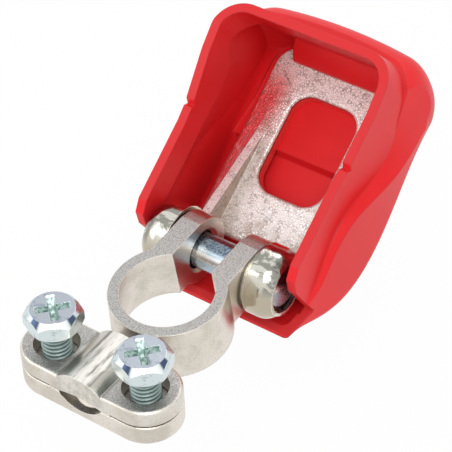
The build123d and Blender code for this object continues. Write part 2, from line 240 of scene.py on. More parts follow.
class FinishSheet(NodeSheet):
    """One material and the nodes that a finish is worked out with."""

    def __init__(self, name: str) -> None:
        """Start an empty material.

        Args:
            name: the material's name.
        """
        self.material = bpy.data.materials.new(name)
        self.material.use_nodes = True
        super().__init__(self.material.node_tree)
        coordinates = self.node("ShaderNodeTexCoord", {}, {})
        self.position = coordinates.outputs["Object"]
        self.facing = coordinates.outputs["Normal"]

    def centred(self, origin: Vector, turn: tuple[float, float, float] = (0.0, 0.0, 0.0),
                stretch: tuple[float, float, float] = (1.0, 1.0, 1.0)) -> bpy.types.NodeSocket:
        """Object coordinates in millimetres about a point.

        Args:
            origin: the point, in millimetres.
            turn: angles that turn the axes of the pattern.
            stretch: shares of each axis after the turn.

        Returns:
            The socket with the coordinates.
        """
        scaled = tuple(1 / MM for _ in stretch)
        moved = self.node("ShaderNodeMapping", {},
                          {"Vector": self.position, "Scale": scaled, "Location": -origin})
        turned = self.node("ShaderNodeMapping", {}, {"Vector": moved.outputs[0], "Rotation": turn})
        return self.node("ShaderNodeMapping", {}, {"Vector": turned.outputs[0], "Scale": stretch}).outputs[0]

    def parts(self, vector: bpy.types.NodeSocket) -> tuple[Field, Field, Field]:
        """The three components of a vector as fields."""
        split = self.node("ShaderNodeSeparateXYZ", {}, {0: vector})
        return Field(self, split.outputs[0]), Field(self, split.outputs[1]), Field(self, split.outputs[2])

    def placed(self, origin: Vector, turn: tuple[float, float, float] = (0.0, 0.0, 0.0)) -> Place:
        """Position and facing in the axes of a piece.

        Args:
            origin: where the axes meet, in millimetres.
            turn: angles that turn the axes.

        Returns:
            The coordinates and the components of the normal.
        """
        where = self.centred(origin, turn)
        turned = self.node("ShaderNodeMapping", {}, {"Vector": self.facing, "Rotation": turn})
        facing_x, _, facing_z = self.parts(turned.outputs[0])
        return Place(where, *self.parts(where), facing_x, facing_z)

    def noise(self, where: bpy.types.NodeSocket, grain: Grain) -> Field:
        """Noise over the surface.

        Args:
            where: coordinates.
            grain: settings of the noise, in the units of the coordinates.

        Returns:
            A field about 0.5.
        """
        noise = self.node("ShaderNodeTexNoise", {"noise_dimensions": "3D"},
                          {"Vector": where, "Scale": 1 / grain.pitch, "Detail": grain.detail,
                           "Roughness": grain.rough, "Distortion": grain.wobble})
        return Field(self, noise.outputs[0])

    def seams(self, where: bpy.types.NodeSocket, pitch: float, scatter: float) -> Field:
        """Distance to the seams between cells about a pitch across, as a share of the pitch."""
        cells = self.node("ShaderNodeTexVoronoi", {"feature": "DISTANCE_TO_EDGE"},
                          {"Vector": where, "Scale": 1 / pitch, "Randomness": scatter})
        return Field(self, cells.outputs["Distance"])

    def blend(self, mask: Number, low: Union[Colour, bpy.types.NodeSocket],
              high: Union[Colour, bpy.types.NodeSocket]) -> bpy.types.NodeSocket:
        """Mix two colours.

        Args:
            mask: 0 for the first, 1 for the second.
            low: first colour or link.
            high: second colour or link.

        Returns:
            The socket with the mixed colour.
        """
        ends = [end if isinstance(end, bpy.types.NodeSocket) else (*end, 1.0) for end in (low, high)]
        mix = self.node("ShaderNodeMix", {"data_type": "RGBA", "clamp_factor": True},
                        {0: mask, 6: ends[0], 7: ends[1]})
        return mix.outputs[2]

    def relief(self, height: Field, depth: float, under: Optional[bpy.types.NodeSocket] = None,
               strength: float = 1.0) -> bpy.types.NodeSocket:
        """Bump from a height.

        Args:
            height: field from 0 to 1.
            depth: what 1 stands for, in millimetres.
            under: a normal that the bump is laid on.
            strength: share of the bump.

        Returns:
            The socket with the normal.
        """
        inputs = {"Height": height, "Distance": depth * MM, "Strength": strength}
        if under is not None:
            inputs["Normal"] = under
        return self.node("ShaderNodeBump", {}, inputs).outputs[0]

    def soft_edges(self, radius: float) -> bpy.types.NodeSocket:
        """Normal that rounds every sharp edge by a radius in millimetres."""
        return self.node("ShaderNodeBevel", {"samples": 4}, {"Radius": radius * MM}).outputs[0]

    def edge_wear_and_highlight(self, rounded: bpy.types.NodeSocket) -> Field:
        """The edges of a face, where rubbed wear and a painted highlight are laid.

        Args:
            rounded: normal that rounds the edges.

        Returns:
            A field that is 1 where that normal leaves the face, so along its edges.
        """
        flat = self.node("ShaderNodeNewGeometry", {}, {}).outputs["Normal"]
        dot = self.node("ShaderNodeVectorMath", {"operation": "DOT_PRODUCT"}, {0: rounded, 1: flat})
        return Field(self, dot.outputs["Value"]).ramp(*EDGE_TURN)

    def finish(self, inputs: dict) -> bpy.types.Material:
        """Close the sheet with its surface shader.

        Args:
            inputs: values and links of the shader's sockets.

        Returns:
            The finished material.
        """
        shader = self.node("ShaderNodeBsdfPrincipled", {}, inputs)
        self.node("ShaderNodeOutputMaterial", {}, {"Surface": shader.outputs[0]})
        return self.material


@dataclass(frozen=True)
class CastTin:
    """Tin-plated casting: satin on its drafted sides, with a glittering skin on the faces that look up."""

    name: str
    side: Colour = (0.80, 0.745, 0.665)
    shade: Colour = (0.64, 0.59, 0.51)
    skin: Colour = (0.46, 0.45, 0.43)
    speck: Colour = (0.22, 0.22, 0.225)
    groove: Colour = (0.20, 0.20, 0.18)
    # Bright metal of rubbed wear and grain, also used for painted highlights on edges and along the crest
    rub_and_highlight: Colour = (0.93, 0.90, 0.84)
    # Near black of the painted shadow around the pin
    gap_shadow: Colour = (0.012, 0.012, 0.012)
    fine: Grain = Grain(0.20, 3.0, 0.6)
    pits: Grain = Grain(0.24, 3.0, 0.6, 0.5)
    wave: Grain = Grain(6.0, 3.0, 0.5, 0.3)
    lines: Grain = Grain(1.7, 4.0, 0.65)
    lines_stretch: tuple[float, float, float] = (1.0, 0.14, 1.0)
    shaded: Span = (0.30, 0.62)
    side_pits: Span = (0.47, 0.32)
    top_pits: Span = (0.56, 0.34)
    glitter: Span = (0.56, 0.64)
    streaks: Span = (0.47, 0.68)
    looks_up: Span = (0.90, 0.97)
    edge_radius: float = 0.26
    satin: float = 0.27
    swell_depth: float = 0.03
    grain_depth: float = 0.045
    brushed: float = 0.0
    brushed_half: float = 6.4
    brushed_fade: float = 1.5
    gap_shadow_out: float = 4.15
    gap_shadow_wide: float = 0.9
    gap_shadow_soft: float = 0.05
    slot_half: float = 4.65

    def cast(self, sheet: FinishSheet, place: Place, wave: Field, fine: Field,
             top: Field) -> bpy.types.NodeSocket:
        """Colour of the bare casting.

        Args:
            sheet: the material.
            place: position and facing.
            wave: slow change over the sides.
            fine: grain of the skin.
            top: 1 on faces that look up.

        Returns:
            The socket with the colour.
        """
        pits = sheet.noise(place.where, self.pits)
        clouded = sheet.blend(wave.ramp(*self.shaded), self.shade, self.side)
        side = sheet.blend(pits.ramp(*self.side_pits) * 0.45, clouded, self.speck)
        pitted = sheet.blend(pits.ramp(*self.top_pits), self.skin, self.speck)
        skin = sheet.blend(fine.ramp(*self.glitter) * 0.7, pitted, self.rub_and_highlight)
        return sheet.blend(top, side, skin)

    def brush(self, sheet: FinishSheet, place: Place, top: Field,
              under: bpy.types.NodeSocket) -> bpy.types.NodeSocket:
        """Lay streaks along the middle of the casting, with a painted highlight along its crest.

        Args:
            sheet: the material.
            place: position and facing.
            top: 1 on faces that look up.
            under: colour beside the streaks.

        Returns:
            The socket with the colour.
        """
        lines = sheet.noise(sheet.centred(CLAMP_SEAT, CLAMP_TURN, self.lines_stretch), self.lines)
        # Painted highlight: the streaks are lighter along the crest of the hump
        crest_highlight = place.x.within(0.0, self.brushed_half)
        streaked = sheet.blend((lines + 0.10 * crest_highlight).ramp(*self.streaks), self.groove, self.rub_and_highlight)
        middle = place.x.within(self.brushed_half - self.brushed_fade, self.brushed_fade)
        return sheet.blend(middle * self.brushed * top.ramp(-0.2, 0.4), under, streaked)

    def gap_shadow_ring(self, place: Place) -> Field:
        """Painted shadow: a dark ring on the ear around the pin, where shade falls into the gap of its hole.

        Args:
            place: position and facing.

        Returns:
            A field that is 1 on the ring.
        """
        beside = place.x.size().near(self.slot_half + self.gap_shadow_wide / 2, self.gap_shadow_wide)
        near_pin = place.y.reach(place.z).ramp(self.gap_shadow_out + self.gap_shadow_soft, self.gap_shadow_out - self.gap_shadow_soft)
        return near_pin * beside

    def build(self) -> bpy.types.Material:
        """Make the material."""
        sheet = FinishSheet(self.name)
        place = sheet.placed(HINGE)
        wave = sheet.noise(place.where, self.wave)
        fine = sheet.noise(place.where, self.fine)
        top = place.facing_z.ramp(*self.looks_up)
        bare = self.cast(sheet, place, wave, fine, top)
        if self.brushed:
            bare = self.brush(sheet, place, top, bare)
        edges = sheet.soft_edges(self.edge_radius)
        # Edges lightened by rubbed wear and a painted highlight
        worn = sheet.blend(sheet.edge_wear_and_highlight(edges) * 0.75, bare, self.rub_and_highlight)
        swell = sheet.relief(wave, self.swell_depth, edges)
        return sheet.finish({
            # The dark ring around the pin is painted shadow
            "Base Color": sheet.blend(self.gap_shadow_ring(place), worn, self.gap_shadow), "Metallic": 1.0,
            "Roughness": self.satin + 0.12 * top + 0.10 * fine,
            "Normal": sheet.relief(fine * (0.45 + 0.55 * top), self.grain_depth, swell)})


@dataclass(frozen=True)
class PlateSkin:
    """Colours of the lever's plate with its ribs and window, in the lever's axes.

    The axes are x across the plate, y along it from the hinge and z square to it.
    """

    metal: Colour = (0.92, 0.90, 0.87)
    shade: Colour = (0.62, 0.55, 0.48)
    seam: Colour = (0.22, 0.19, 0.17)
    # Painted reflection of the red hood on the plate
    hood_reflection: Colour = (0.78, 0.08, 0.09)
    bright: Colour = (1.0, 0.99, 0.97)
    # Painted shade on the sides of the ribs
    rib_side_shade: Colour = (0.52, 0.43, 0.35)
    # Painted reflection of the red hood on the window's walls, and painted shade along their lip
    window_wall_reflection: Colour = (0.86, 0.12, 0.11)
    window_lip_shade: Colour = (0.20, 0.08, 0.07)
    patch: Grain = Grain(1.7, 3.0, 0.6)
    patched: Span = (0.40, 0.62)
    shaded: Span = (0.30, 0.55)
    drawn: Span = (0.13, 0.02)
    plate_face: float = -12.0
    open_end: Span = (36.0, 43.0)
    rib_centre: float = 11.45
    rib_spread: float = 1.6
    rib_end: float = 29.3
    window_half: float = 7.75
    window_ends: Span = (17.5, 39.5)
    wall_soft: float = 0.2
    rib_shade_centre: float = 9.05
    rib_shade_spread: float = 2.4
    rib_shade_run: float = 8.0
    lit_centre: float = 14.3
    lit_spread: float = 3.6
    lit_across: Span = (10.0, 7.0)
    margin_across: Span = (12.15, 12.95)
    margin_run: float = 8.0
    corner_across: Span = (-7.5, -13.0)
    corner_start: Span = (25.3, 34.3)
    corner_end: Span = (47.0, 37.0)

    def at_end(self, place: Place) -> Field:
        """1 at the open end of the plate."""
        return place.y.ramp(*self.open_end)

    def toned(self, sheet: FinishSheet, place: Place, wave: Field) -> bpy.types.NodeSocket:
        """Metal of the plate: painted shade inside the ribs, a painted highlight below the window,
        a painted reflection of the red hood outside the ribs, and painted light towards the open end.

        Args:
            sheet: the material.
            place: position and facing.
            wave: slow change over the plate.

        Returns:
            The socket with the colour.
        """
        across, along = place.x.size(), place.y
        # Painted light: fewer darker clouds towards the open end, lightening it against the hood's shadow
        skin = sheet.blend((wave + 0.25 * self.at_end(place)).ramp(*self.shaded), self.shade, self.metal)
        # Painted shade beside the ribs
        rib_shade = across.near(self.rib_shade_centre, self.rib_shade_spread) * along.ramp(
            self.rib_end, self.rib_end - self.rib_shade_run)
        # Painted highlight on the plate below the window
        painted_glint = along.near(self.lit_centre, self.lit_spread) * across.ramp(*self.lit_across)
        metal = sheet.blend(painted_glint * 0.8, sheet.blend(rib_shade * 0.6, skin, self.shade), self.bright)
        # Painted reflection of the red hood along the outer margins and in the upper left corner
        margin_reflection = across.ramp(*self.margin_across) * along.ramp(self.rib_end + self.margin_run, self.rib_end)
        corner_reflection = place.x.ramp(*self.corner_across) * along.ramp(*self.corner_start) * along.ramp(
            *self.corner_end)
        return sheet.blend((margin_reflection + corner_reflection) * (0.82 + 0.18 * wave.ramp(0.62, 0.40)), metal, self.hood_reflection)

    def ribbed(self, sheet: FinishSheet, place: Place, under: bpy.types.NodeSocket) -> bpy.types.NodeSocket:
        """Lay the colours of the ribs over those of the plate:
        a painted highlight on top, painted shade on their sides.

        Args:
            sheet: the material.
            place: position and facing.
            under: colour of the plate.

        Returns:
            The socket with the colour.
        """
        ridge = place.x.size().near(self.rib_centre, self.rib_spread) * place.y.ramp(
            self.rib_end, self.rib_end - 1.5) * place.z.ramp(self.plate_face, self.plate_face + 0.4)
        # Painted shade on the sides of the ribs, painted highlight on their tops
        sides = place.facing_x.size().ramp(0.4, 0.7)
        return sheet.blend(ridge, under, sheet.blend(sides, self.bright, self.rib_side_shade))

    def pierced(self, sheet: FinishSheet, place: Place, under: bpy.types.NodeSocket) -> bpy.types.NodeSocket:
        """Lay a painted reflection of the red hood on the window's walls, with painted shade along their lip.

        Args:
            sheet: the material.
            place: position and facing.
            under: colour of the plate.

        Returns:
            The socket with the colour.
        """
        start, end = self.window_ends
        inside = place.x.within(self.window_half + 0.1, self.wall_soft) * (
            place.y - (start + end) / 2).within((end - start) / 2 + 0.1, self.wall_soft)
        wall = place.facing_z.size().ramp(0.5, 0.3) * inside
        # Painted shade along the lip; the rest of each wall carries a painted red reflection of the hood
        lip = place.z.ramp(self.plate_face - 1.1, self.plate_face - 0.6)
        return sheet.blend(wall, under, sheet.blend(lip, self.window_wall_reflection, self.window_lip_shade))

    def colour(self, sheet: FinishSheet, place: Place, wave: Field, net: Field) -> bpy.types.NodeSocket:
        """Colour of the whole plate.

        Args:
            sheet: the material.
            place: position and facing.
            wave: slow change over the plate.
            net: distance to the seams of its skin.

        Returns:
            The socket with the colour.
        """
        ribbed = self.ribbed(sheet, place, self.toned(sheet, place, wave))
        worn = 0.25 + 0.75 * sheet.noise(place.where, self.patch).ramp(*self.patched)
        lines = net.ramp(*self.drawn) * worn * (0.65 + 0.25 * self.at_end(place))
        return self.pierced(sheet, place, sheet.blend(lines, ribbed, self.seam))


@dataclass(frozen=True)
class HubSkin:
    """Colours of the domed hubs about the hinge: painted shade underneath,
    with torn clouds of painted dark reflection on top.

    Bearings are in radians about the hinge, from the direction of the plate.
    """

    metal: Colour = (0.70, 0.68, 0.61)
    shade: Colour = (0.47, 0.41, 0.31)
    # Painted dark reflection on the hubs
    cloud_reflection: Colour = (0.09, 0.10, 0.08)
    streak: Grain = Grain(1.8, 4.0, 0.6, 0.8)
    streak_stretch: tuple[float, float, float] = (0.45, 1.0, 1.0)
    torn: Span = (0.45, 0.53)
    torn_rim: Span = (0.56, 0.48)
    radius: float = 7.9
    inner: float = 9.2
    rim: float = 15.0
    rim_spread: float = 1.6
    soft: float = 0.5
    low_spread: float = 1.5
    cloud_reflection_at: float = 1.22
    cloud_reflection_spread: float = 0.62
    rim_at: float = 1.45
    rim_turn: float = 0.9

    def mask(self, place: Place) -> Field:
        """1 on the hubs."""
        round_axis = place.y.reach(place.z).ramp(self.radius + self.soft, self.radius)
        return round_axis * place.x.size().ramp(self.inner - self.soft, self.inner)

    def colour(self, sheet: FinishSheet, place: Place) -> bpy.types.NodeSocket:
        """Colour of the hubs, with painted shade underneath and painted dark reflections.

        Args:
            sheet: the material.
            place: position and facing.

        Returns:
            The socket with the colour.
        """
        bearing = place.z.bearing(place.y)
        streak = sheet.noise(sheet.centred(HINGE, (0.0, 0.0, 0.0), self.streak_stretch), self.streak)
        # Painted shade on the underside of the hubs
        low = bearing.near(pi, self.low_spread)
        # Painted dark reflections in torn clouds on top and near the outer rim
        painted_band = streak.ramp(*self.torn) * bearing.near(self.cloud_reflection_at, self.cloud_reflection_spread)
        rim = streak.ramp(*self.torn_rim) * bearing.near(self.rim_at, self.rim_turn) * place.x.size().near(
            self.rim, self.rim_spread)
        return sheet.blend((painted_band + rim) * 0.62, sheet.blend(low * 0.9, self.metal, self.shade), self.cloud_reflection)


@dataclass(frozen=True)
class BrightCast:
    """Bright plated lever casting: a fine net of seams on the plate, mirror-bright hubs."""

    name: str
    plate: PlateSkin = PlateSkin()
    hubs: HubSkin = HubSkin()
    wave: Grain = Grain(4.5, 3.0, 0.55, 0.6)
    cell: float = 0.52
    cell_scatter: float = 0.75
    cell_stretch: tuple[float, float, float] = (1.0, 0.8, 0.35)
    seam_spread: float = 0.22
    mirror: float = 0.14
    edge_radius: float = 0.3
    relief_depth: float = 0.05

    def build(self) -> bpy.types.Material:
        """Make the material."""
        sheet = FinishSheet(self.name)
        place = sheet.placed(HINGE, LEVER_TURN)
        hub = self.hubs.mask(place)
        plate = 1 - hub
        wave = sheet.noise(place.where, self.wave)
        net = sheet.seams(sheet.centred(HINGE, LEVER_TURN, self.cell_stretch), self.cell, self.cell_scatter)
        whole = sheet.blend(hub, self.plate.colour(sheet, place, wave, net), self.hubs.colour(sheet, place))
        edges = sheet.soft_edges(self.edge_radius)
        rolled = sheet.relief(wave, self.relief_depth, edges)
        dielectric = plate * (0.55 + 0.37 * self.plate.at_end(place))
        return sheet.finish({
            # Edges lightened by rubbed wear and a painted highlight
            "Base Color": sheet.blend(sheet.edge_wear_and_highlight(edges) * 0.6, whole, self.plate.bright),
            "Metallic": 1.0 - dielectric, "Roughness": self.mirror + 0.18 * plate,
            "Normal": sheet.relief(net.ramp(0.0, self.seam_spread) * plate, self.relief_depth, rolled)})


@dataclass(frozen=True)
class ZincScrew:
    """Bright zinc plating on a forged screw: pale flanks, a darker top face, a white crown with dark corners,
    all painted reflections; a tinted recess, and painted shade at the root of the thread.
    """

    name: str
    axis_at: Vector
    turn: tuple[float, float, float]
    head_under: float
    head_top: float
    crown_radius: float
    recess_radius: float
    shank_radius: float
    facet: float
    # Top face and flank tones are painted reflections; the corner colour is a painted dark reflection
    face: Colour = (0.46, 0.50, 0.56)
    flank: Colour = (0.68, 0.76, 0.77)
    crown: Colour = (0.97, 0.98, 1.0)
    corner_reflection: Colour = (0.07, 0.10, 0.17)
    tint: Colour = (0.20, 0.33, 0.30)
    pale: Colour = (0.62, 0.74, 0.71)
    # Painted shade at the root of the thread
    root_shade: Colour = (0.09, 0.13, 0.12)
    thread: Colour = (0.36, 0.47, 0.45)
    wave: Grain = Grain(2.2, 3.0, 0.55, 0.4)
    crisp: Grain = Grain(0.9, 2.0, 0.5, 0.6)
    level: Span = (0.88, 0.96)
    slanting: Span = (0.25, 0.40)
    corner_at: Span = (radians(-46), radians(48))
    corner_spread: float = radians(15)
    front_spread: float = radians(44)
    soft: float = 0.1
    edge_radius: float = 0.15
    polish: float = 0.20
    relief_depth: float = 0.03

    def forged(self, sheet: FinishSheet, place: Place, wave: Field) -> bpy.types.NodeSocket:
        """Colour of the head outside its recess, with painted reflections:
        a darker top face, a white front of the crown, dark corners and dark patches.

        Args:
            sheet: the material.
            place: position and facing.
            wave: slow change over the head.

        Returns:
            The socket with the colour.
        """
        # Painted reflection: the level top face is darker and bluer than the flanks
        level = place.facing_z.ramp(*self.level)
        cone = place.facing_z.ramp(*self.slanting) * (1 - level) * place.x.reach(place.y).ramp(
            self.crown_radius - 0.15, self.crown_radius + 0.05)
        bearing = place.y.bearing(place.x) - self.facet
        # Painted dark reflections on two corners of the crown
        dark = bearing.near(self.corner_at[0], self.corner_spread) + bearing.near(
            self.corner_at[1], self.corner_spread)
        # Painted highlight on the front of the crown
        crown_highlight = bearing.near(0.0, self.front_spread) * cone
        plain = sheet.blend(level, self.flank, self.face)
        # Painted dark reflection in patches over the head
        clouded = sheet.blend(wave.ramp(0.56, 0.66) * 0.35, plain, self.corner_reflection)
        return sheet.blend(dark * cone, sheet.blend(crown_highlight, clouded, self.crown), self.corner_reflection)

    def build(self) -> bpy.types.Material:
        """Make the material."""
        sheet = FinishSheet(self.name)
        place = sheet.placed(self.axis_at, self.turn)
        reach = place.x.reach(place.y)
        wave = sheet.noise(place.where, self.wave)
        head = place.z.ramp(self.head_under - self.soft, self.head_under + self.soft)
        inside = reach.ramp(self.recess_radius + self.soft, self.recess_radius - self.soft) * place.z.ramp(
            self.head_top - 0.12, self.head_top - 0.3)
        walls = sheet.blend(sheet.noise(place.where, self.crisp).ramp(0.38, 0.54), self.tint, self.pale)
        headed = sheet.blend(inside, self.forged(sheet, place, wave), walls)
        # Painted shade at the root of the thread
        deep = reach.ramp(self.shank_radius - 0.05, self.shank_radius - 0.4)
        shank = sheet.blend(deep, self.thread, self.root_shade)
        return sheet.finish({
            "Base Color": sheet.blend(head, shank, headed), "Metallic": 1.0 - 0.6 * inside,
            "Roughness": self.polish + 0.12 * wave + 0.2 * inside,
            "Normal": sheet.relief(wave, self.relief_depth, sheet.soft_edges(self.edge_radius))})


@dataclass(frozen=True)
class GroundPin:
    """Ground and zinc-plated hinge pin, with a painted highlight band and a painted dark reflection along its
    length.
    """

    name: str
    metal: Colour = (0.40, 0.48, 0.55)
    # Colours of the painted highlight and the painted dark reflection
    bright: Colour = (0.98, 0.99, 1.0)
    dark: Colour = (0.10, 0.14, 0.19)
    speckle: Grain = Grain(0.35, 3.0, 0.6)
    bright_at: float = radians(147)
    bright_spread: float = radians(17)
    dark_at: float = radians(95)
    dark_spread: float = radians(34)
    edge_radius: float = 0.2
    polish: float = 0.22
    relief_depth: float = 0.01

    def build(self) -> bpy.types.Material:
        """Make the material."""
        sheet = FinishSheet(self.name)
        place = sheet.placed(HINGE)
        bearing = place.z.bearing(place.y)
        speckle = sheet.noise(place.where, self.speckle)
        # Painted highlight: a bright band along the pin
        painted_band = bearing.near(self.bright_at, self.bright_spread)
        # Painted dark reflection along the upper side of the pin
        shade = bearing.near(self.dark_at, self.dark_spread) * (0.45 + 0.9 * speckle.ramp(0.40, 0.60))
        return sheet.finish({
            "Base Color": sheet.blend(painted_band, sheet.blend(shade * 0.8, self.metal, self.dark), self.bright),
            "Metallic": 1.0, "Roughness": self.polish + 0.10 * speckle,
            "Normal": sheet.relief(speckle, self.relief_depth, sheet.soft_edges(self.edge_radius))})


@dataclass(frozen=True)
class MouldedRed:
    """Red injection-moulded hood, satin with a faint flow pattern, and painted shade on the top faces of its
    lip.
    """

    name: str
    red: Colour = (0.77, 0.018, 0.023)
    deep: Colour = (0.73, 0.014, 0.018)
    # Lighter red of scuffs and scratches, also used for the painted highlight on edges
    scuff_and_highlight: Colour = (0.80, 0.10, 0.11)
    # Painted shade on the lip
    lip_shade: Colour = (0.60, 0.028, 0.032)
    flow: Grain = Grain(14.0, 2.0, 0.5, 0.4)
    fine: Grain = Grain(0.25, 2.0, 0.6)
    scratch: Grain = Grain(1.3, 4.0, 0.7, 1.5)
    lip_facing: Span = (0.93, 0.985)
    lip_from: float = -9.0
    edge_radius: float = 0.5
    satin: float = 0.36
    relief_depth: float = 0.008
    refraction: float = 1.46
    gloss: float = 0.25

    def build(self) -> bpy.types.Material:
        """Make the material."""
        sheet = FinishSheet(self.name)
        place = sheet.placed(HINGE, LEVER_TURN)
        straight = sheet.centred(HINGE)
        # Painted shade: the faces along the lip that look up are darker
        lip = place.facing_z.ramp(*self.lip_facing) * place.z.ramp(self.lip_from - 1, self.lip_from)
        flow = sheet.noise(straight, self.flow)
        fine = sheet.noise(straight, self.fine)
        scratched = sheet.noise(straight, self.scratch).ramp(0.70, 0.76) * 0.18
        body = sheet.blend(flow.ramp(0.35, 0.65), self.deep, self.red)
        lipped = sheet.blend(lip * 0.8, sheet.blend(scratched, body, self.scuff_and_highlight), self.lip_shade)
        edges = sheet.soft_edges(self.edge_radius)
        return sheet.finish({
            # Edges lightened by rubbed wear and a painted highlight
            "Base Color": sheet.blend(sheet.edge_wear_and_highlight(edges) * 0.22, lipped, self.scuff_and_highlight),
            "Roughness": self.satin + 0.10 * flow, "IOR": self.refraction, "Specular IOR Level": self.gloss,
            "Normal": sheet.relief(fine, self.relief_depth, edges)})


@dataclass
class ClampScrew:
    """One M6 screw: hexagon head with a cross recess and a shank with a cut thread."""

    side: Side
    off_centre: float = 10.4
    head_under: float = 8.85
    head_height: float = 4.2
    corner_radius: float = 5.77
    crown: float = 1.45
    crown_radius: float = 4.35
    facet: float = radians(-50)
    cross: float = radians(47)
    under_radius: float = 4.85
    under_rise: float = 0.9
    length: float = 16.0
    thread_radius: float = 2.97
    root_radius: float = 2.42
    pitch: float = 1.0
    flank_share: float = 0.4
    flat_share: float = 0.1
    turn_steps: int = 28
    round_steps: int = 64
    joined: float = 0.6
    tip_chamfer: float = 0.25
    blank_wider: float = 1.04
    arm_length: float = 7.0
    arm_width: float = 1.7
    arm_depth: float = 2.5
    arm_sunk: float = 0.48
    arm_floor: Span = (0.30, 0.45)

    @property
    def name(self) -> str:
        """Name of the finished piece."""
        return f"clamp_screw_{self.side.word}"

    @property
    def seat(self) -> Vector:
        """Where the axis of the screw meets the level of the clamp's seat, in millimetres."""
        return CLAMP_SEAT + Vector((self.side.value * self.off_centre, 0.0, 0.0))

    @property
    def placed(self) -> Matrix:
        """Place of the screw: its axis is local Z, with the underside of the head at 0."""
        lean = Matrix.Rotation(-CLAMP_TILT, 4, "X")
        return Matrix.Translation(self.seat) @ lean @ Matrix.Translation((0.0, 0.0, self.head_under))

    def thread(self) -> bmesh.types.BMesh:
        """Shank with its thread, from inside the head to the tip.

        Returns:
            The closed mesh of the shank, about local Z.
        """
        mesh = bmesh.new()
        turns = int(self.length / self.pitch) + 2
        flank = self.flank_share * self.pitch
        flat = self.flat_share * self.pitch
        outline = [(self.root_radius, 0.0), (self.root_radius, flat), (self.thread_radius, flat + flank),
                   (self.thread_radius, 2 * flat + flank), (self.root_radius, self.pitch)]
        points = [mesh.verts.new((r, 0.0, z - self.length - self.pitch)) for r, z in outline]
        for one, other in zip(points, points[1:]):
            mesh.edges.new((one, other))
        bmesh.ops.spin(mesh, geom=mesh.verts[:] + mesh.edges[:], cent=(0, 0, 0), axis=(0, 0, 1),
                       dvec=(0, 0, self.pitch / self.turn_steps), angle=2 * pi * turns,
                       steps=turns * self.turn_steps, use_merge=False, use_duplicate=False)
        bmesh.ops.remove_doubles(mesh, verts=mesh.verts[:], dist=0.01 * self.pitch)
        for level, outward in ((-self.length, -1), (self.joined, 1)):
            bmesh.ops.bisect_plane(mesh, geom=mesh.verts[:] + mesh.edges[:] + mesh.faces[:], dist=1e-5,
                                   plane_co=(0, 0, level), plane_no=(0, 0, outward), clear_outer=True)
            rim = [edge for edge in mesh.edges if edge.is_boundary and
                   all(abs(v.co.z - level) < 1e-3 for v in edge.verts)]
            bmesh.ops.contextual_create(mesh, geom=rim)
        for v in mesh.verts:
            reach = Vector((v.co.x, v.co.y)).length
            limit = self.root_radius - self.tip_chamfer + (v.co.z + self.length)
            if reach > limit:
                v.co.x *= limit / reach
                v.co.y *= limit / reach
        bmesh.ops.recalc_face_normals(mesh, faces=mesh.faces[:])
        return mesh

    def round_blank(self) -> bmesh.types.BMesh:
        """Turned blank whose cones chamfer the hexagon above and below."""
        mesh = bmesh.new()
        high = self.head_height
        wide = self.blank_wider * self.corner_radius
        slope = self.crown / (self.corner_radius - self.crown_radius)
        fall = self.under_rise / (self.corner_radius - self.under_radius)
        outline = [(0.0, 0.0), (self.under_radius, 0.0), (wide, fall * (wide - self.under_radius)),
                   (wide, high - slope * (wide - self.crown_radius)), (self.crown_radius, high), (0.0, high)]
        points = [mesh.verts.new((r, 0.0, z)) for r, z in outline]
        for one, other in zip(points, points[1:]):
            mesh.edges.new((one, other))
        bmesh.ops.spin(mesh, geom=mesh.verts[:] + mesh.edges[:], cent=(0, 0, 0), axis=(0, 0, 1),
                       angle=2 * pi, steps=self.round_steps, use_merge=True, use_duplicate=False)
        bmesh.ops.remove_doubles(mesh, verts=mesh.verts[:], dist=1e-4)
        bmesh.ops.recalc_face_normals(mesh, faces=mesh.faces[:])
        return mesh

    def hexagon(self) -> bmesh.types.BMesh:
        """Hexagonal prism of the head, with one flat at the bearing of its facet."""
        mesh = bmesh.new()
        bmesh.ops.create_cone(mesh, cap_ends=True, segments=6, radius1=self.corner_radius,
                              radius2=self.corner_radius, depth=self.head_height)
        bmesh.ops.translate(mesh, verts=mesh.verts[:], vec=(0, 0, self.head_height / 2))
        widest = max(mesh.verts, key=lambda v: v.co.x).co
        bmesh.ops.rotate(mesh, verts=mesh.verts[:], cent=(0, 0, 0),
                         matrix=Matrix.Rotation(self.facet + pi / 6 - atan2(widest.y, widest.x), 3, "Z"))
        return mesh

    def recess_arm(self, quarter: int) -> bmesh.types.BMesh:
        """One slot of the cross recess, narrower towards its floor.

        Args:
            quarter: 0 or 1, the slot across the head or along it.

        Returns:
            The tool that cuts the slot.
        """
        mesh = bmesh.new()
        bmesh.ops.create_cube(mesh, size=1.0)
        bmesh.ops.scale(mesh, verts=mesh.verts[:], vec=(self.arm_length, self.arm_width, self.arm_depth))
        floor = [v for v in mesh.verts if v.co.z < 0]
        bmesh.ops.scale(mesh, verts=floor, vec=(*self.arm_floor, 1.0))
        bmesh.ops.rotate(mesh, verts=mesh.verts[:], cent=(0, 0, 0),
                         matrix=Matrix.Rotation(self.cross + quarter * pi / 2, 3, "Z"))
        level = self.head_height - self.arm_sunk * self.arm_depth
        bmesh.ops.translate(mesh, verts=mesh.verts[:], vec=(0, 0, level))
        return mesh

    def head(self) -> bpy.types.Mesh:
        """Hexagon head, chamfered by the turned blank and cut by the cross recess.

        Returns:
            The mesh of the head, about local Z.
        """
        blank = as_object(self.hexagon(), "blank")
        for tool, operation in ((self.round_blank(), "INTERSECT"), (self.recess_arm(0), "DIFFERENCE"),
                                (self.recess_arm(1), "DIFFERENCE")):
            cutter = as_object(tool, "cutter")
            cut = blank.modifiers.new("cut", "BOOLEAN")
            cut.operation = operation
            cut.solver = "EXACT"
            cut.object = cutter
            shaped = applied(blank)
            blank.modifiers.clear()
            blank.data = shaped
            bpy.data.objects.remove(cutter)
        bpy.data.objects.remove(blank)
        return shaped

